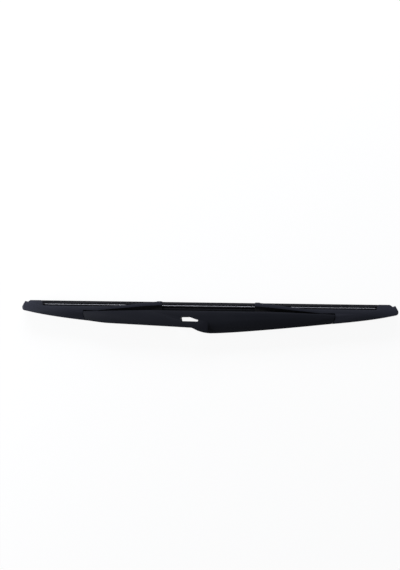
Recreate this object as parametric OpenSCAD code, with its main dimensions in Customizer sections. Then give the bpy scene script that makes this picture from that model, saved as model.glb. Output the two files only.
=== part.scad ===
/* [Blade] */
// Length of the rubber, the nominal length of the blade
rubber_len = 350; // [335:1:365]
// How far each yoke's tip stands past the end of the rubber
tip_reach = 8; // [7:0.5:10]
// Distance from the middle of the blade to each pivot
pivot_x = 110; // [107:1:114]
// Depth of the pivots below the wiping edge
pivot_depth = 11.5; // [11.2:0.1:12]
// Distance from the middle of the blade to the middle of each inner claw
inner_claw_x = 47.5; // [45:0.5:52]
// Diameter of the pivot pins
pin_d = 3; // [2.4:0.1:3.4]
// Diameter of the boss round each pin, which keeps the yoke in the middle of the bridge
boss_d = 6.4; // [5:0.2:7]

/* [Bridge] */
// Width of the bridge across its two walls
bridge_w = 14; // [13:0.1:16]
// Thickness of the bridge's side walls
bridge_wall = 1.8; // [1.5:0.1:2]
// Thickness of the bridge's back wall
bridge_back = 2; // [1.4:0.1:2.6]
// Depth of the hump's crest below the wiping edge
crest_depth = 30; // [28:0.5:32]
// Place of the hump's crest along the blade
crest_x = 2.4; // [0:0.2:6]
// Depth of the bridge's back at its two ends
seam_depth = 18.8; // [18:0.1:20]
// Depth of the bridge's open edge in the middle
edge_depth = 8.4; // [8.3:0.1:9.4]
// Depth of the bridge's open edge at its two ends
edge_seam_depth = 10.3; // [10.2:0.1:11]
// Radius of the bridge's round ends about the pivots
seam_r = 12; // [11:0.1:13]
// Angle at which the back of the bridge and yokes slopes in from the crease
roof_angle = 17; // [10:1:20]

/* [Arm seat] */
// Distance from the middle of the blade to the outer end of the arm's seat
seat_out_x = 98; // [90:1:100]
// Depth of the seat at its outer end
seat_out_depth = 21.4; // [20.5:0.1:22.5]
// Distance from the middle of the blade to the inner end of the seat
seat_in_x = 17.4; // [16:0.2:20]
// Depth of the seat at its inner end
seat_in_depth = 24.7; // [24:0.1:26]
// Distance from the middle of the blade to the bar that the arm snaps on
bar_x = 20.5; // [19:0.1:22]
// Depth of that bar's axis
bar_depth = 22.5; // [22:0.1:23]
// Diameter of that bar
bar_d = 4.4; // [3.6:0.1:4.8]
// Length of the opening in the back wall that the arm's clip enters
pocket_len = 20; // [18:0.5:22]
// Length of the window beside the bar
window_len = 17; // [15:0.5:18]
// Height of the window at its outer end
window_h = 4.2; // [3.8:0.1:4.8]

/* [Yokes] */
// How much lower each side of a yoke stands than the bridge's side
yoke_inset = 0.3; // [0.2:0.05:0.6]
// Thickness of the yoke's side walls
yoke_wall = 1.6; // [1.3:0.1:1.8]
// Thickness of the yoke's floor
yoke_floor = 1.6; // [1.2:0.1:2]
// Depth of the yoke's open edge, just behind the steel strips
yoke_edge = 5.2; // [4.9:0.1:5.6]
// Length of each inner claw
inner_claw_len = 4.8; // [4.2:0.2:7]
// Length of each outer claw, back from the end of the rubber
outer_claw_len = 12.8; // [9:0.2:15]
// How far the inner claws' tips stand above the line of the wiping edge
claw_proud = 0.4; // [0:0.1:0.6]
// Width of a yoke across its inner claw
inner_claw_w = 11; // [10:0.1:12]
// Width of a yoke across its tip
tip_w = 9.6; // [9:0.1:11]
// Gap between a yoke and the round end of the bridge
seam_gap = 0.5; // [0.4:0.05:0.6]
// Gap left between a yoke's rim and the bridge's edge when the yoke is turned right in
rim_gap = 0.6; // [0.4:0.05:0.8]
// Angle that a yoke turns until its inner claw is right in the bridge
turn_in = 4; // [3.5:0.5:5]
// Angle that a yoke turns the other way
turn_out = 3; // [2:0.5:3.5]
// Depth of the web that joins the inner claw to the pivot
web_depth = 12.2; // [11.8:0.1:12.6]

/* [Rubber] */
// Height of the rubber from the wiping edge to the top of its head
rubber_h = 8.3; // [8:0.1:8.4]
// Width of the wiping edge
lip_w = 0.6; // [0.5:0.05:1]
// Depth of the shoulder's lower face, where the lip ends
shoulder_depth = 2.6; // [2.4:0.1:2.7]
// Width of the shoulder
shoulder_w = 3.8; // [3.2:0.1:3.8]
// Width of the head
head_w = 4.8; // [4.4:0.1:5]

/* [Steel strips] */
// Depth of the strips' face towards the glass
strip_depth = 3.4; // [3.35:0.05:3.6]
// Thickness of each strip
strip_t = 1; // [0.7:0.05:1.1]
// Width of each strip
strip_w = 2; // [1.8:0.1:2.1]
// Width across the outer edges of both strips
strips_span = 6; // [5.8:0.1:6.2]

/* [Clearances] */
// Radial clearance of a pivot pin in the bridge's sockets
pin_clear = 0.05; // [0.02:0.01:0.1]
// Clearance of the strips and the rubber in the claws
claw_clear = 0.2; // [0.1:0.05:0.3]
// Clearance of each end of a pivot boss in the bridge's channel
boss_clear = 0.3; // [0.2:0.05:0.5]
// Clearance of the yoke's web in the bridge's channel
web_clear = 1.1; // [0.6:0.1:1.3]

/* [Hidden] */

$fn = 64;
curve_steps = 14;
corner_steps = 5;
past = 1;

// Widths and levels that several pieces share
channel_w = bridge_w - 2 * bridge_wall;
web_w = channel_w - 2 * web_clear;
yoke_w = bridge_w - 2 * yoke_inset;
rubber_end = rubber_len / 2;
tip_x = rubber_end + tip_reach;
seam_x = pivot_x + seam_r;
claw_slot_w = strips_span + 2 * claw_clear;
claw_throat_w = shoulder_w + 3 * claw_clear;
claw_in = inner_claw_x - inner_claw_len / 2;
claw_out = inner_claw_x + inner_claw_len / 2;
box_in = rubber_end - outer_claw_len;
finger_depth = strip_depth - claw_clear / 2;
pin_r = pin_d / 2;
socket_depth = 1.1;
pin_end_gap = 0.1;

// The crease along the right half: two straight runs that meet at crease_mid
crease_step = [0, 18.7];
crease_mid = [58, 16.6];
crease_slope = 0.0745;

// The blade is drawn with Y as minus the depth, then set down on its side
module placed() {
    translate([0, (crest_depth - claw_proud) / 2, bridge_w / 2]) children();
}

function at(x, depth) = [x, -depth];

// Points of the cubic curve with ends a, d and handles b, c
function curve(a, b, c, d) = [for (i = [0:curve_steps]) let (t = i / curve_steps, s = 1 - t)
    s * s * s * a + 3 * s * s * t * b + 3 * s * t * t * c + t * t * t * d];

// The arc of radius r that rounds the corner b between a and c
function corner(a, b, c, r) = let (
    u = (a - b) / norm(a - b),
    v = (c - b) / norm(c - b),
    half = acos(u * v) / 2,
    from = b + u * r / tan(half),
    to = b + v * r / tan(half),
    mid = b + (u + v) / norm(u + v) * r / sin(half),
    start = atan2(from[1] - mid[1], from[0] - mid[0]),
    turn = atan2(to[1] - mid[1], to[0] - mid[0]) - start,
    sweep = turn > 180 ? turn - 360 : turn < -180 ? turn + 360 : turn
) [for (i = [0:corner_steps]) let (a = start + sweep * i / corner_steps) mid + r * [cos(a), sin(a)]];

// A closed outline of [x, depth, radius] points with its corners rounded
function rounded(p) = let (n = len(p)) [for (i = [0:n - 1])
    let (
        a = p[(i + n - 1) % n],
        b = p[i],
        c = p[(i + 1) % n]
    )
    each b[2] > 0 ? corner(at(a[0], a[1]), at(b[0], b[1]), at(c[0], c[1]), b[2]) : [at(b[0], b[1])]];

// A prism of the outline in the side view, as wide as w and centred across the blade
module slab(w) {
    translate([0, 0, -w / 2]) linear_extrude(w) children();
}

// A prism of an outline in the plan view, given as [x, half width] points
module plan_slab(p) {
    reversed = [for (i = [len(p) - 1:-1:0]) [p[i][0], -p[i][1]]];
    translate([0, crest_depth, 0]) rotate([90, 0, 0]) linear_extrude(3 * crest_depth) polygon(concat(p, reversed));
}

// What lies outside the sloped back from start outwards, on both sides. Its crease rises by the slope,
// and the side narrows outwards by the taper angle
module roof_run(start, slope, inset, taper = 0) {
    for (side = [0, 1])
        mirror([0, 0, side])
            translate([start[0], -start[1], bridge_w / 2 - inset / cos(roof_angle)])
                rotate([0, 0, atan(slope)])
                    rotate([roof_angle, 0, 0])
                        rotate([0, taper, 0])
                            translate([0, -2 * crest_depth, 0])
                                cube([tip_x + seam_x, 4 * crest_depth, bridge_w]);
}

function crease_depth(x) = crease_mid[1] - (x - crease_mid[0]) * crease_slope;

// The bridge's back from the left end to the right end
seat_slope = (seat_in_depth - seat_out_depth) / (seat_out_x - seat_in_x);
seat_out = at(-seat_out_x, seat_out_depth);
seat_in = at(-seat_in_x, seat_in_depth);
crest = at(crest_x, crest_depth);
end_slope = 0.118;
left_run = (seam_x - seat_out_x) / 3;
right_run = seam_x - crest_x;
rise_x = crest_x + seat_in_x;
bridge_back_line = concat(
    curve(at(-seam_x, seam_depth), at(-seam_x + left_run, seam_depth + left_run * end_slope),
        seat_out + [-left_run, left_run * seat_slope], seat_out),
    curve(seat_in, seat_in + rise_x * [0.2, -0.2 * seat_slope], crest + rise_x * [-0.7, 0.03], crest),
    curve(crest, crest + right_run * [0.19, 0.004], at(seam_x, seam_depth) - 0.32 * right_run * [1, end_slope],
        at(seam_x, seam_depth)));
edge_end_x = inner_claw_x + 12;
bridge_edge_line = [at(seam_x, edge_seam_depth), at(edge_end_x, edge_depth),
    at(-edge_end_x, edge_depth), at(-seam_x, edge_seam_depth)];

// Depth of the bridge's open edge at x, on the right half
function edge_at(x) = edge_depth
    + (edge_seam_depth - edge_depth) * max(0, x - edge_end_x) / (seam_x - edge_end_x);

module bridge_side() {
    intersection() {
        polygon(concat(bridge_back_line, bridge_edge_line));
        union() {
            translate([-pivot_x, -2 * crest_depth]) square([2 * pivot_x, 3 * crest_depth]);
            for (x = [-pivot_x, pivot_x]) translate(at(x, pivot_depth)) circle(seam_r);
        }
    }
}

// The channel's outline: the back line moved in by the back wall, run out at both ends and the edge
module channel_side() {
    inner = [for (p = bridge_back_line) p + [0, bridge_back]];
    ends = [at(seam_x + seam_r, seam_depth - bridge_back), at(seam_x + seam_r, -edge_depth),
        at(-seam_x - seam_r, -edge_depth), at(-seam_x - seam_r, seam_depth - bridge_back)];
    polygon(concat(inner, ends));
}

module right_roof(inset) {
    roof_run(crease_step, (crease_step[1] - crease_mid[1]) / (crease_mid[0] - crease_step[0]), inset);
    roof_run(crease_mid, crease_slope, inset);
}

// On the left half the sloped back starts from nothing at the seat's outer end
module bridge_roof(inset) {
    crease_rise = seat_out_depth - crease_depth(seam_x);
    taper = atan(sin(roof_angle) * crease_rise / (seam_x - seat_out_x));
    right_roof(inset);
    mirror([1, 0, 0]) roof_run([seat_out_x, seat_out_depth], 0, inset, taper);
}

// The window beside the bar, which the arm's clip shows through. It narrows towards the hump
window_low = bar_depth - bar_d / 2 - 1.5;
window_out = -bar_x - 6.2;
window_in = window_out + window_len;
window = rounded([
    [window_out, window_low - window_h, 0.9],
    [window_out + window_len * 0.49, window_low - window_h * 1.06, 1.5],
    [window_in - window_len * 0.15, window_low - window_h * 0.53, 1],
    [window_in, window_low - window_h * 0.45, 0.7],
    [window_in, window_low, 0.7],
    [window_out + 1, window_low - 0.2, 0.9]]);

module bridge() {
    pocket_x = -bar_x - pocket_len / 2;
    color([0.12, 0.125, 0.14]) placed() difference() {
        union() {
            difference() {
                slab(bridge_w) bridge_side();
                bridge_roof(0);
                difference() {
                    slab(channel_w) channel_side();
                    bridge_roof(bridge_wall);
                }
                translate([pocket_x, -crest_depth - past, -channel_w / 2])
                    cube([pocket_len, crest_depth - bar_depth + bar_d, channel_w]);
            }
            translate(at(-bar_x, bar_depth)) cylinder(h = channel_w + bridge_wall, d = bar_d, center = true);
        }
        slab(bridge_w + 2 * past) polygon(window);
        for (x = [-pivot_x, pivot_x])
            translate(at(x, pivot_depth))
                cylinder(h = channel_w + 2 * socket_depth, r = pin_r + pin_clear, center = true);
    }
}

// The yoke's back from inside the seam to the end of the rubber
tip_depth = 6.4;
claw_back_depth = 11.4;
yoke_back_start = pivot_x + seam_r / 2;
yoke_run = rubber_end - yoke_back_start;
yoke_back_line = curve(
    at(yoke_back_start, seam_depth + 0.7),
    at(yoke_back_start + yoke_run * 0.32, seam_depth - 1.1),
    at(yoke_back_start + yoke_run * 0.7, claw_back_depth + 3.8),
    at(rubber_end, claw_back_depth));

// The closed tip: a rounded nose with a notch and a small spur on the glass side
yoke_tip = rounded([
    [rubber_end, claw_back_depth, 0],
    [tip_x - 0.4, claw_back_depth - 1.6, 2.6],
    [tip_x + 0.1, tip_depth, 2.4],
    [tip_x - 2.3, 2.4, 0.6],
    [tip_x - 3.1, 1, 0.2],
    [tip_x - 4, 1.4, 0.2],
    [tip_x - 4.3, 2.7, 0.3],
    [tip_x - 5.6, 1.9, 0.5],
    [tip_x - 8.3, 0.1, 0.6],
    [box_in + 1.6, 0.1, 1],
    [box_in, yoke_edge, 0.8],
    [yoke_back_start, yoke_edge, 0]]);

module yoke_body_side() {
    difference() {
        polygon(concat(yoke_back_line, yoke_tip));
        translate(at(pivot_x, pivot_depth)) circle(seam_r + seam_gap);
    }
}

// The arm's edge on the glass side rises from behind the strips to the wiping edge at the claw
arm_rise = [at(claw_out + 44, yoke_edge), at(claw_out + 27.5, strip_depth), at(claw_out + 14, 1.6),
    at(claw_out + 4, 0.3)];
claw_tip = [at(claw_out + 0.4, 0), at(claw_out - 0.4, -claw_proud), at(claw_in + 0.5, -claw_proud),
    at(claw_in, 0.2)];

// Depth of the rim's back at x: it clears the bridge's edge by the gap at both ends of the turn
function rim_at(x) = edge_at(x) - rim_gap
    - (x < pivot_x ? (pivot_x - x) * tan(turn_in) : (x - pivot_x) * tan(turn_out));

// The rim that closes on the bridge's edge when the yoke turns, from the seam to the inner claw
module yoke_rim_side() {
    polygon(concat(
        [at(seam_x + 2, yoke_edge)], arm_rise, claw_tip,
        [for (x = [claw_in, edge_end_x, pivot_x, seam_x + 2]) at(x, rim_at(x))]));
}

// The web that lies inside the bridge's channel and carries the pivot, with the inner claw at its end
web_low = seam_depth - bridge_back - 1;
web_out = seam_x + 4;

function web_line(rise) = [
    at(claw_in + 3, web_depth - rise), at(pivot_x - 14, web_depth + 0.4 - rise),
    at(pivot_x - 5, web_low - rise), at(pivot_x + 6, web_low - rise),
    at(web_out, web_low - 1 - rise)];

module yoke_web_side() {
    polygon(concat(
        [at(claw_in, web_depth - 3)], web_line(0),
        [at(web_out, yoke_edge)], arm_rise, claw_tip));
}

// The bridge's sloped inner faces as the web meets them at both ends of the yoke's turn
module web_limits(wall) {
    pivot = at(pivot_x, pivot_depth);
    for (turn = [turn_in, -turn_out])
        translate(pivot) rotate([0, 0, -turn]) translate(-pivot) right_roof(bridge_wall + web_clear + wall);
}

// What is cut from a yoke so that the rubber and the strips lie in it
module yoke_hollow() {
    slot_top = rubber_h + claw_clear + 0.2;
    hollow_end = box_in - 1;
    body_in = seam_x + 3;
    // The narrow channel through the web
    difference() {
        slab(claw_slot_w) polygon(concat(
            [at(claw_in - past, web_depth - yoke_floor)], web_line(yoke_floor),
            [at(web_out, finger_depth), at(claw_in - past, finger_depth)]));
        web_limits(web_w / 2 - claw_slot_w / 2);
    }
    // The way to the glass side between the two claws
    translate(at(claw_out, finger_depth + past)) translate([0, 0, -claw_slot_w / 2])
        cube([box_in - claw_out, finger_depth + 2 * past, claw_slot_w]);
    // The throat between the fingers of both claws
    translate(at(claw_in - past, finger_depth + past)) translate([0, 0, -claw_throat_w / 2])
        cube([rubber_end + claw_clear - claw_in + past, finger_depth + 2 * past, claw_throat_w]);
    // The slot in the outer claw, up to the closed tip
    translate(at(body_in, slot_top)) translate([0, 0, -claw_slot_w / 2])
        cube([rubber_end + claw_clear - body_in, slot_top - finger_depth, claw_slot_w]);
    // The wide hollow of the body
    difference() {
        slab(yoke_w - 2 * yoke_wall) intersection() {
            polygon(concat([for (p = yoke_back_line) p + [0, yoke_floor]],
                [at(rubber_end, 0), at(yoke_back_start, 0)]));
            translate([body_in, -2 * crest_depth]) square([hollow_end - body_in, 3 * crest_depth]);
        }
        yoke_roof(yoke_inset + yoke_wall);
    }
}

module yoke_roof(inset) {
    roof_run([pivot_x, crease_depth(pivot_x)], crease_slope, inset);
}

// The yoke tapers in plan towards the inner claw and towards the tip
module yoke_plan() {
    taper_in = claw_out + 15;
    taper_out = rubber_end - 25;
    plan_slab([
        [claw_in, inner_claw_w / 2], [claw_out, inner_claw_w / 2], [taper_in, yoke_w / 2],
        [taper_out, yoke_w / 2], [tip_x - 1.6, tip_w / 2], [tip_x, tip_w / 2 - 1]]);
}

module yoke() {
    difference() {
        intersection() {
            union() {
                difference() {
                    slab(yoke_w) yoke_body_side();
                    yoke_roof(yoke_inset);
                }
                slab(yoke_w) yoke_rim_side();
                difference() {
                    union() {
                        slab(web_w) yoke_web_side();
                        slab(channel_w - 2 * boss_clear) translate(at(pivot_x, pivot_depth)) circle(d = boss_d);
                    }
                    web_limits(0);
                }
            }
            yoke_plan();
        }
        yoke_hollow();
        translate(at(pivot_x, pivot_depth)) cylinder(h = bridge_w, r = pin_r, center = true);
    }
}

module yoke_left() {
    color([0.17, 0.17, 0.19]) placed() mirror([1, 0, 0]) yoke();
}

module yoke_right() {
    color([0.17, 0.17, 0.19]) placed() yoke();
}

// A steel pin with its ends chamfered
module pivot_pin() {
    half = channel_w / 2 + socket_depth - pin_end_gap;
    chamfer = 0.3;
    translate(at(pivot_x, pivot_depth)) rotate_extrude() polygon([
        [0, -half], [pin_r - chamfer, -half], [pin_r, -half + chamfer],
        [pin_r, half - chamfer], [pin_r - chamfer, half], [0, half]]);
}

module pivot_pin_left() {
    color([0.62, 0.63, 0.65]) placed() mirror([1, 0, 0]) pivot_pin();
}

module pivot_pin_right() {
    color([0.62, 0.63, 0.65]) placed() pivot_pin();
}

// Half of the rubber's section as [depth, half width] points, from the wiping edge to the head
strip_slack = 0.05;
slot_floor = strips_span / 2 - strip_w - strip_slack;
rubber_half = [
    [0, lip_w / 2], [1.8, lip_w / 2 + 0.3], [2, shoulder_w / 2], [shoulder_depth, shoulder_w / 2],
    [shoulder_depth + 0.1, 0.5], [strip_depth - 0.5, 0.5], [strip_depth - 0.4, shoulder_w / 2],
    [strip_depth - strip_slack, shoulder_w / 2], [strip_depth - strip_slack, slot_floor],
    [strip_depth + strip_t + strip_slack, slot_floor], [strip_depth + strip_t + strip_slack, head_w / 2],
    [strip_depth + strip_t + 1, head_w / 2], [strip_depth + strip_t + 1.2, head_w / 2 - 0.6],
    [strip_depth + strip_t + 1.7, head_w / 2 - 0.6], [strip_depth + strip_t + 1.9, head_w / 2],
    [rubber_h - 0.5, head_w / 2], [rubber_h, head_w / 2 - 0.5]];

module wiper_rubber() {
    left = [for (p = rubber_half) [-p[0], p[1]]];
    right = [for (i = [len(rubber_half) - 1:-1:0]) [-rubber_half[i][0], -rubber_half[i][1]]];
    color([0.05, 0.05, 0.055]) placed() translate([-rubber_end, 0, 0])
        rotate([90, 0, 90]) linear_extrude(rubber_len) polygon(concat(left, right));
}

// A flat spring-steel strip with its corners cut, lying in one side slot of the rubber
module flexor() {
    end_gap = 1;
    cut = 0.6;
    half = rubber_end - end_gap;
    inner = strips_span / 2 - strip_w;
    outer = strips_span / 2;
    translate(at(0, strip_depth)) rotate([90, 0, 0]) linear_extrude(strip_t) polygon([
        [-half, inner], [half, inner], [half, outer - cut], [half - cut, outer],
        [-half + cut, outer], [-half, outer - cut]]);
}

module flexor_near() {
    color([0.55, 0.56, 0.58]) placed() flexor();
}

module flexor_far() {
    color([0.55, 0.56, 0.58]) placed() mirror([0, 0, 1]) flexor();
}

bridge();
yoke_left();
yoke_right();
pivot_pin_left();
pivot_pin_right();
wiper_rubber();
flexor_near();
flexor_far();
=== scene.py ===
"""A rear wiper blade lying on its side: moulded bridge and yokes, extruded rubber and bare steel strips."""

import math

import bmesh
import bpy
import numpy as np
from mathutils import Matrix, Vector


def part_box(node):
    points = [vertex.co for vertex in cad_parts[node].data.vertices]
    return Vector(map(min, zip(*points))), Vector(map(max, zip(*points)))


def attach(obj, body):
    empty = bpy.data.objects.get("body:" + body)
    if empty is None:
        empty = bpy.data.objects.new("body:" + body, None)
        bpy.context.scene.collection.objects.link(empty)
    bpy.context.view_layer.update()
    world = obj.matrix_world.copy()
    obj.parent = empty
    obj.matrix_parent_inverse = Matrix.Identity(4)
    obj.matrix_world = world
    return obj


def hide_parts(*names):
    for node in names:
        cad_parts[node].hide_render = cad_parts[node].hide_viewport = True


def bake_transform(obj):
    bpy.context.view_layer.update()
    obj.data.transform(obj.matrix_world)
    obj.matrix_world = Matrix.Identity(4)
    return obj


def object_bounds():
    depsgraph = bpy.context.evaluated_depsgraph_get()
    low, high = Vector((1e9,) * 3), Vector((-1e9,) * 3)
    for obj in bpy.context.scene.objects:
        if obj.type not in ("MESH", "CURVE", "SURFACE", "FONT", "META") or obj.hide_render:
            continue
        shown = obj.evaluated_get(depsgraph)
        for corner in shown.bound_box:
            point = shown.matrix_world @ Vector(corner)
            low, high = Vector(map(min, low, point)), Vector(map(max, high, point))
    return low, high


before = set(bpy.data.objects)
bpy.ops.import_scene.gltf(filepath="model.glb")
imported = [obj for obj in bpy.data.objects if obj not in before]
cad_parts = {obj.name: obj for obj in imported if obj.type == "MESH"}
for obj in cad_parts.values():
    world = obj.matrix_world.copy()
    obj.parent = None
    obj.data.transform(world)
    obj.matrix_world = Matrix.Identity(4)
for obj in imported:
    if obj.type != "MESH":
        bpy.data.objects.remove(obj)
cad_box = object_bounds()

MM = 0.001

# Places and sizes that the pieces share, taken from the frame
low, high = (np.array(corner) for corner in cad_box)
rubber_low, rubber_high = (np.array(corner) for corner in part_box("wiper_rubber"))
strip_low, strip_high = (np.array(corner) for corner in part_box("flexor_near"))
lip_y = rubber_high[1]
mid_z = (rubber_low[2] + rubber_high[2]) / 2
rubber_end = rubber_high[0]
rubber_h = rubber_high[1] - rubber_low[1]
head_half = rubber_high[2] - mid_z
strip_end = strip_high[0]
strip_top, strip_bottom = lip_y - strip_high[1], lip_y - strip_low[1]
strip_in, strip_out = strip_low[2] - mid_z, strip_high[2] - mid_z
seam_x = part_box("bridge")[1][0]

# Sizes that no box gives: half widths of the rubber, and the outer claws' length from the blade's tips
LIP_HALF, NECK_HALF, FLANGE_HALF = 0.3 * MM, 0.5 * MM, 1.9 * MM
OUTER_CLAW = 20.8 * MM

# The photograph: its size in pixels, and where the middle of the wiping edge shows in it
PHOTO_W, PHOTO_H = 400, 570
LIP_MIDDLE_PX = (208.6, 302.55)
FOCAL_PX = 1025
CAMERA_DISTANCE = 1.0
CAMERA_YAW = math.radians(3.4)
CAMERA_TILT = math.radians(3.5)
CAMERA_ROLL = math.radians(0.93)
SENSOR = 36

# The mouldings: how fast their sides fall away from the crest, in metres over metres squared, how far the
# crest lies under the wiping edge, and half the width of the yokes' web, inside which painted shade darkens
# them
CROWN = 4.0
BRIDGE_CREST, YOKE_CREST = 13 * MM, 9 * MM
WEB_SHADE_HALF = 4.35 * MM

# Meshes: what the joining of triangles takes for one point and for flat, which edges are rounded, which stay
# crisp in smooth shading, and how long the facets of the rubber and strips are
WELD = 0.002 * MM
FLAT = math.radians(0.3)
ROUNDED_OVER = math.radians(24)
CRISP_OVER = math.radians(32)
FACET = 2 * MM
STRIP_CORNER = 0.6 * MM

# The stage: half the floor's side in metres, the floor's white, and the share of it that takes no shadow
FLOOR_HALF = 40.0
FLOOR_WHITE = (0.92, 0.92, 0.92, 1)
FLOOR_SHOWN_WHITE = 0.92
DAYLIGHT = (0.95, 0.98, 1.06)
WORLD_STRENGTH = 0.2

# Sockets of a Mix node that mixes colours
MIX_FIRST, MIX_SECOND, MIX_RESULT = 6, 7, 2


def make_camera():
    """Looks down on the blade, leaning a little to its back and to its right end, as the photograph does."""
    data = bpy.data.cameras.new("camera")
    camera = bpy.data.objects.new("camera", data)
    bpy.context.scene.collection.objects.link(camera)
    bpy.context.scene.camera = camera
    data.sensor_width = SENSOR
    data.lens = FOCAL_PX * SENSOR / PHOTO_H
    back = Vector((math.sin(CAMERA_YAW), -math.sin(CAMERA_TILT), math.cos(CAMERA_TILT))).normalized()
    up = (Vector((0, 1, 0)) - back * back.y).normalized()
    up = Matrix.Rotation(CAMERA_ROLL, 3, back) @ up
    right = up.cross(back)
    aside = (LIP_MIDDLE_PX[0] - PHOTO_W / 2) / FOCAL_PX * CAMERA_DISTANCE
    below = (LIP_MIDDLE_PX[1] - PHOTO_H / 2) / FOCAL_PX * CAMERA_DISTANCE
    middle = Vector((0, lip_y, mid_z))
    camera.location = middle - right * aside + up * below + back * CAMERA_DISTANCE
    camera.rotation_euler = Matrix((right, up, back)).transposed().to_euler()


class Value:
    """One output of a material's nodes. Arithmetic on it adds Math nodes."""

    def __init__(self, finish, socket):
        self.finish = finish
        self.socket = socket

    def maths(self, operation, *values):
        return self.finish.node("ShaderNodeMath", {"operation": operation}, dict(enumerate(values)))

    def __add__(self, other):
        return self.maths("ADD", self, other)

    def __sub__(self, other):
        return self.maths("SUBTRACT", self, other)

    def __rsub__(self, other):
        return self.maths("SUBTRACT", other, self)

    def __mul__(self, other):
        return self.maths("MULTIPLY", self, other)

    def __pow__(self, other):
        return self.maths("POWER", self, other)

    def __abs__(self):
        return self.maths("ABSOLUTE", self)

    __radd__ = __add__
    __rmul__ = __mul__

    def above(self, level, softness):
        """0 below the level, 1 above it, with a soft step between."""
        return self.finish.node(
            "ShaderNodeMapRange", {"interpolation_type": "SMOOTHSTEP"},
            {"Value": self, "From Min": level - softness, "From Max": level + softness})


class Finish:
    """A material in the making: a Principled shader and the nodes that feed it."""

    def __init__(self, name, **sockets):
        self.material = bpy.data.materials.new(name)
        self.material.use_nodes = True
        self.tree = self.material.node_tree
        self.shader = self.tree.nodes["Principled BSDF"]
        self.place = self.node("ShaderNodeTexCoord", output="Object")
        for socket, value in sockets.items():
            self.shader.inputs[socket.replace("_", " ")].default_value = value

    def node(self, kind, settings=None, inputs=None, output=0):
        """Adds a node, first with its settings and then with the values or links of its sockets."""
        made = self.tree.nodes.new(kind)
        for name, value in (settings or {}).items():
            setattr(made, name, value)
        for socket, value in (inputs or {}).items():
            if isinstance(value, Value):
                self.tree.links.new(value.socket, made.inputs[socket])
            else:
                made.inputs[socket].default_value = value
        return Value(self, made.outputs[output])

    def coordinate(self, axis):
        """How far the point lies along axis 0, 1 or 2, in metres."""
        return self.node("ShaderNodeSeparateXYZ", {}, {0: self.place}, output=axis)

    def noise(self, scale, stretch=(1, 1, 1), detail=2.0, roughness=0.5):
        """Noise on Object coordinates, in features per metre, stretched along the axes."""
        at = self.node("ShaderNodeMapping", {}, {"Vector": self.place, "Scale": stretch})
        return self.node("ShaderNodeTexNoise", {}, {
            "Vector": at, "Scale": scale, "Detail": detail, "Roughness": roughness})

    def blend(self, mask, first, second):
        """The first colour where the mask is 0, the second where it is 1."""
        return self.node("ShaderNodeMix", {"data_type": "RGBA"}, {
            "Factor": mask, MIX_FIRST: (*first, 1) if isinstance(first, tuple) else first,
            MIX_SECOND: (*second, 1) if isinstance(second, tuple) else second}, output=MIX_RESULT)

    def feed(self, socket, value):
        self.tree.links.new(value.socket, self.shader.inputs[socket])

    def bump(self, height, distance):
        """Relief of the given depth in metres."""
        self.feed("Normal", self.node("ShaderNodeBump", {}, {
            "Height": height, "Distance": distance, "Strength": 1.0}))


def shade(colour, factor):
    return tuple(factor * channel for channel in colour)


def moulded_plastic(name, colour, paler, roughness, grain, crest, painted_shade_within=None):
    """Moulded plastic: a spark-eroded grain, faint flow marks along the moulding, and duller patches. Its
    sides are crowned: the height falls with the square of the distance from the crest's depth. The tips are
    painted paler, a painted highlight. What lies nearer the middle plane than the given distance is painted
    nearly black, a painted shade for the recess, and is made duller."""
    finish = Finish(name, Specular_IOR_Level=0.2)
    reach = abs(finish.coordinate(0))
    cells = finish.node("ShaderNodeTexVoronoi", {"feature": "SMOOTH_F1"}, {
        "Vector": finish.place, "Scale": 1900.0, "Smoothness": 0.6})
    flow = finish.noise(60.0, (0.25, 1, 1), detail=3)
    patches = finish.noise(24.0, (0.5, 1, 1), detail=4, roughness=0.6)
    dust = (patches * 0.6 + flow * 0.4).above(0.52, 0.14)
    # Painted highlight: the tips are painted paler for the light that their tapered sides catch.
    tip_highlight = reach.above(rubber_end - 4 * MM, 12 * MM) * 0.7
    faded = finish.blend(tip_highlight, finish.blend(dust, colour, paler), shade(colour, 1.6))
    dullness = roughness + dust * 0.1 + (flow - 0.5) * 0.12
    # Painted shade: near the middle plane the yokes' web lies in the recess between the bridge's walls; there
    # it is painted nearly black and made duller.
    if painted_shade_within:
        outside = abs(finish.coordinate(2) - mid_z).above(painted_shade_within, 0.15 * MM)
        beyond = reach.above(seam_x, 0.5 * MM)
        unshaded = outside.maths("MAXIMUM", outside, beyond)
        faded = finish.blend(unshaded, shade(colour, 0.1), faded)
        dullness = dullness + (1 - unshaded) * 0.3
    finish.feed("Base Color", faded)
    finish.feed("Roughness", dullness)
    crown = (finish.coordinate(1) - (lip_y - crest)) ** 2 * CROWN
    finish.bump((cells * 0.6 + finish.noise(2600.0, detail=1) * 0.4) * grain - crown, 1.0)
    return finish.material


def rubber_finish():
    """Extruded rubber: draw lines along the profile, and a pale bloom where it was dusted."""
    finish = Finish("extruded_rubber", Specular_IOR_Level=0.12)
    lines = finish.noise(900.0, (0.004, 1, 1), detail=3)
    bloom = finish.noise(70.0, (0.3, 1, 1), detail=5, roughness=0.65).above(0.55, 0.2)
    finish.feed("Base Color", finish.blend(bloom, (0.0025, 0.0027, 0.0038), (0.005, 0.0054, 0.0076)))
    finish.feed("Roughness", 0.5 + bloom * 0.18 + (lines - 0.5) * 0.2)
    finish.bump(lines * 0.7 + finish.noise(1500.0, detail=2) * 0.3, 0.04 * MM)
    return finish.material


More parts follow.
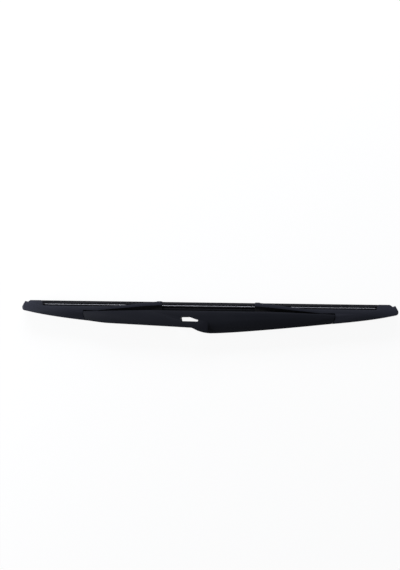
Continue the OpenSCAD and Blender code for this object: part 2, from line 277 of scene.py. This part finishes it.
def rolled_steel(name, colour, darker, roughness):
    """Bare rolled steel: long streaks, a thin darker oxide in places, and a painted shadow beside the outer
    claws.
    """
    finish = Finish(name, Metallic=1.0)
    streaks = finish.noise(1400.0, (0.006, 1, 1), detail=3)
    oxide = finish.noise(45.0, (0.4, 1, 1), detail=5, roughness=0.7).above(0.56, 0.12)
    bare = finish.blend(oxide * 0.7 + streaks * 0.3, colour, darker)
    # Painted shadow: the strips are painted dark where they run into and beside the outer claws.
    claw_shadow = abs(finish.coordinate(0)).above(high[0] - OUTER_CLAW - 1.4 * MM, 0.8 * MM)
    finish.feed("Base Color", finish.blend(claw_shadow, bare, shade(colour, 0.12)))
    finish.feed("Roughness", roughness + oxide * 0.15 + (streaks - 0.5) * 0.15)
    finish.bump(streaks, 0.01 * MM)
    return finish.material


def link_piece(name, mesh, material):
    """A new object of the mesh, with its material in its one slot."""
    piece = bpy.data.objects.new(name, mesh)
    bpy.context.scene.collection.objects.link(piece)
    mesh.materials.clear()
    mesh.materials.append(material)
    return piece


def smooth_but_crisp(mesh):
    """Smooth shading, with the sharp edges kept crisp."""
    mesh.polygons.foreach_set("use_smooth", np.ones(len(mesh.polygons), bool))
    mesh.set_sharp_from_angle(angle=CRISP_OVER)


def moulding(node, body, material, edge):
    """A moulded piece: the solid of the node with its triangles joined into faces and its edges rounded."""
    name = f"{node}_moulding"
    mesh = bpy.data.meshes.new(name)
    shape = bmesh.new()
    shape.from_mesh(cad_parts[node].data)
    bmesh.ops.remove_doubles(shape, verts=shape.verts, dist=WELD)
    bmesh.ops.dissolve_limit(
        shape, angle_limit=FLAT, verts=shape.verts, edges=shape.edges, delimit={"NORMAL"})
    shape.to_mesh(mesh)
    shape.free()
    piece = link_piece(name, mesh, material)
    rounding = piece.modifiers.new("rounded_edges", "BEVEL")
    rounding.width = edge
    rounding.segments = 3
    rounding.limit_method = "ANGLE"
    rounding.angle_limit = ROUNDED_OVER
    rounding.miter_outer = "MITER_ARC"
    finished = bpy.data.meshes.new_from_object(piece.evaluated_get(bpy.context.evaluated_depsgraph_get()))
    piece.modifiers.clear()
    piece.data = finished
    smooth_but_crisp(finished)
    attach(piece, body)
    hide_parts(node)


def rounded_outline(corners, steps=4):
    """A closed outline with a rounded corner at each (depth, across, radius): the arc of that radius that
    touches both sides. Its centre lies on the corner's bisector, at radius / sin(half the corner's angle)."""
    corners = np.array(corners, float)
    here, radius = corners[:, :2], corners[:, 2:]
    before = np.roll(here, 1, axis=0) - here
    after = np.roll(here, -1, axis=0) - here
    before /= np.linalg.norm(before, axis=1, keepdims=True)
    after /= np.linalg.norm(after, axis=1, keepdims=True)
    half = np.arccos((before * after).sum(axis=1, keepdims=True)) / 2
    bisector = before + after
    bisector /= np.linalg.norm(bisector, axis=1, keepdims=True)
    centre = here + bisector * radius / np.sin(half)
    start = here + before * radius / np.tan(half) - centre
    end = here + after * radius / np.tan(half) - centre
    turn = np.arctan2(start[:, 0] * end[:, 1] - start[:, 1] * end[:, 0], (start * end).sum(axis=1))
    angle = (turn[:, None] * np.linspace(0, 1, steps))[..., None]
    square = np.column_stack([-start[:, 1], start[:, 0]])
    arcs = centre[:, None] + np.cos(angle) * start[:, None] + np.sin(angle) * square[:, None]
    return arcs.reshape(-1, 2)


def stations(end):
    """Places along the blade, from its middle to the end, about a facet apart."""
    return np.linspace(0, end, round(abs(end) / FACET) + 1)


def extruded(name, x, depth, across, material):
    """A closed section carried along the blade: the point of station i and corner j lies at x[i], depth[i, j]
    below the wiping edge and across[i, j] from the middle plane. Quads join the rings. The ends are flat."""
    points = np.stack(np.broadcast_arrays(x[:, None], lip_y - depth, mid_z + across), axis=-1)
    rows, count = points.shape[:2]
    first = np.arange(rows - 1)[:, None] * count + np.arange(count)
    after = np.arange(rows - 1)[:, None] * count + (np.arange(count) + 1) % count
    sides = np.stack([first, after, after + count, first + count], axis=-1).reshape(-1, 4)
    ends = [np.arange(count)[::-1].tolist(), np.arange((rows - 1) * count, rows * count).tolist()]
    mesh = bpy.data.meshes.new(name)
    mesh.from_pydata(points.reshape(-1, 3).tolist(), [], sides.tolist() + ends)
    shape = bmesh.new()
    shape.from_mesh(mesh)
    bmesh.ops.recalc_face_normals(shape, faces=shape.faces)
    shape.to_mesh(mesh)
    shape.free()
    smooth_but_crisp(mesh)
    return link_piece(name, mesh, material)


def rubber_outline():
    """The rubber's section: lip, shoulder, neck, flange, strip slots and grooved head, every corner rounded.
    One half is given in millimetres as (depth, across, radius), and the other is its mirror image."""
    top, bottom, slot_in = strip_top / MM, strip_bottom / MM, strip_in / MM - 0.05
    lip, neck, flange, head = LIP_HALF / MM, NECK_HALF / MM, FLANGE_HALF / MM, head_half / MM
    foot = rubber_h / MM
    side = np.array([
        (0, lip, 0.08), (1.8, lip + 0.3, 0.3), (2, flange, 0.12), (2.6, flange, 0.12), (2.7, neck, 0.06),
        (top - 0.5, neck, 0.05), (top - 0.4, flange, 0.08), (top - 0.05, flange, 0.08),
        (top - 0.05, slot_in, 0.05), (bottom + 0.05, slot_in, 0.05), (bottom + 0.05, head, 0.15),
        (bottom + 1, head, 0.15), (bottom + 1.2, head - 0.6, 0.12), (bottom + 1.7, head - 0.6, 0.12),
        (bottom + 1.9, head, 0.15), (foot - 0.5, head, 0.2), (foot, head - 0.5, 0.2)]) * MM
    return rounded_outline(np.concatenate([side, side[::-1] * (1, -1, 1)]))


def rubber_half(side, sign, material):
    """Half of the rubber, from the middle of the blade to its end."""
    depth, across = rubber_outline().T
    piece = extruded(f"wiper_rubber_{side}", stations(sign * rubber_end), depth, across[None],
                     material)
    bend(piece)
    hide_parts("wiper_rubber")


def strip_half(side, sign, face, material):
    """Half of a steel strip: a flat section with rolled edges, whose outer edge moves in at its end by as much
    as the station lies past the start of the cut corner."""
    which = "near" if face > 0 else "far"
    cut_x = strip_end - STRIP_CORNER
    x = np.append(stations(sign * cut_x), sign * strip_end)
    narrowing = np.clip(np.abs(x) - cut_x, 0, None)[:, None]
    depth, across = rounded_outline([
        (strip_top, strip_in, 0.12 * MM), (strip_top, strip_out, 0.3 * MM),
        (strip_bottom, strip_out, 0.3 * MM), (strip_bottom, strip_in, 0.12 * MM)]).T
    share = (across - strip_in) / (strip_out - strip_in)
    piece = extruded(f"flexor_{which}_{side}", x, depth, face * (across - narrowing * share),
                     material)
    bend(piece)
    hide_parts(f"flexor_{which}")


def bend(piece):
    """Bakes the half's placement into its mesh; the half is not bent."""
    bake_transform(piece)


def make_floor():
    """A white floor. Seen by the camera or in a reflection it is mostly plain white, but keeps the shadow."""
    mesh = bpy.data.meshes.new("floor")
    corners = [(x * FLOOR_HALF, y * FLOOR_HALF, low[2]) for x, y in ((-1, -1), (1, -1), (1, 1), (-1, 1))]
    mesh.from_pydata(corners, [], [(0, 1, 2, 3)])
    floor = bpy.data.objects.new("floor", mesh)
    bpy.context.scene.collection.objects.link(floor)
    finish = Finish("floor_white", Roughness=0.9, Specular_IOR_Level=0.0, Base_Color=FLOOR_WHITE)
    camera, glossy, transmitted = (
        finish.node("ShaderNodeLightPath", output=f"Is {ray} Ray")
        for ray in ("Camera", "Glossy", "Transmission"))
    white = finish.node("ShaderNodeEmission", {}, {"Color": (1, 1, 1, 1), "Strength": 1.0})
    plain = Value(finish, finish.shader.outputs[0])
    shown = finish.node("ShaderNodeMixShader", {}, {
        0: (camera + glossy + transmitted) * FLOOR_SHOWN_WHITE, 1: plain, 2: white})
    finish.tree.links.new(shown.socket, finish.tree.nodes["Material Output"].inputs["Surface"])
    mesh.materials.append(finish.material)


def make_world():
    """Even daylight from all sides, which the camera alone sees as white."""
    world = bpy.data.worlds.new("studio")
    bpy.context.scene.world = world
    world.use_nodes = True
    tree = world.node_tree
    background = tree.nodes["Background"]
    seen_white = tree.nodes.new("ShaderNodeBackground")
    for light, colour, strength in ((background, DAYLIGHT, WORLD_STRENGTH), (seen_white, (1, 1, 1), 1.0)):
        light.inputs["Color"].default_value = (*colour, 1)
        light.inputs["Strength"].default_value = strength
    shown = tree.nodes.new("ShaderNodeMixShader")
    rays = tree.nodes.new("ShaderNodeLightPath")
    sources = (rays.outputs["Is Camera Ray"], background.outputs[0], seen_white.outputs[0])
    for socket, output in enumerate(sources):
        tree.links.new(output, shown.inputs[socket])
    tree.links.new(shown.outputs[0], tree.nodes["World Output"].inputs["Surface"])


def lamp(name, place, size_x, size_y, watts):
    """A soft rectangular lamp that faces the blade's middle."""
    data = bpy.data.lights.new(name, "AREA")
    data.shape = "RECTANGLE"
    data.size, data.size_y = size_x, size_y
    data.energy = watts
    data.color = DAYLIGHT
    made = bpy.data.objects.new(name, data)
    made.location = place
    made.rotation_euler = (-Vector(place)).to_track_quat("-Z", "Y").to_euler()
    bpy.context.scene.collection.objects.link(made)


bpy.context.scene.view_settings.view_transform = "Standard"
make_camera()

bridge_plastic = moulded_plastic(
    "bridge_plastic", (0.0069, 0.0075, 0.0115), (0.0085, 0.0094, 0.0139), 0.48, 0.02 * MM, BRIDGE_CREST)
yoke_plastic = moulded_plastic(
    "yoke_plastic", (0.0118, 0.0129, 0.0195), (0.0152, 0.0164, 0.0236), 0.52, 0.03 * MM, YOKE_CREST, WEB_SHADE_HALF)
rubber = rubber_finish()
strip_steel = rolled_steel("strip_steel", (0.2, 0.2, 0.21), (0.14, 0.14, 0.15), 0.42)
pin_steel = rolled_steel("pin_steel", (0.55, 0.55, 0.56), (0.35, 0.35, 0.36), 0.3)

moulding("bridge", "bridge", bridge_plastic, 0.35 * MM)
for side, sign in (("left", -1), ("right", 1)):
    moulding(f"yoke_{side}", f"yoke_{side}", yoke_plastic, 0.25 * MM)
    rubber_half(side, sign, rubber)
    for face in (1, -1):
        strip_half(side, sign, face, strip_steel)
    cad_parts[f"pivot_pin_{side}"].material_slots[0].material = pin_steel

make_floor()
make_world()
lamp("key_lamp", (-0.17, 0.95, 0.43), 1.0, 0.35, 17.5)
lamp("left_lamp", (-0.62, -0.08, 0.16), 0.2, 0.4, 3.2)
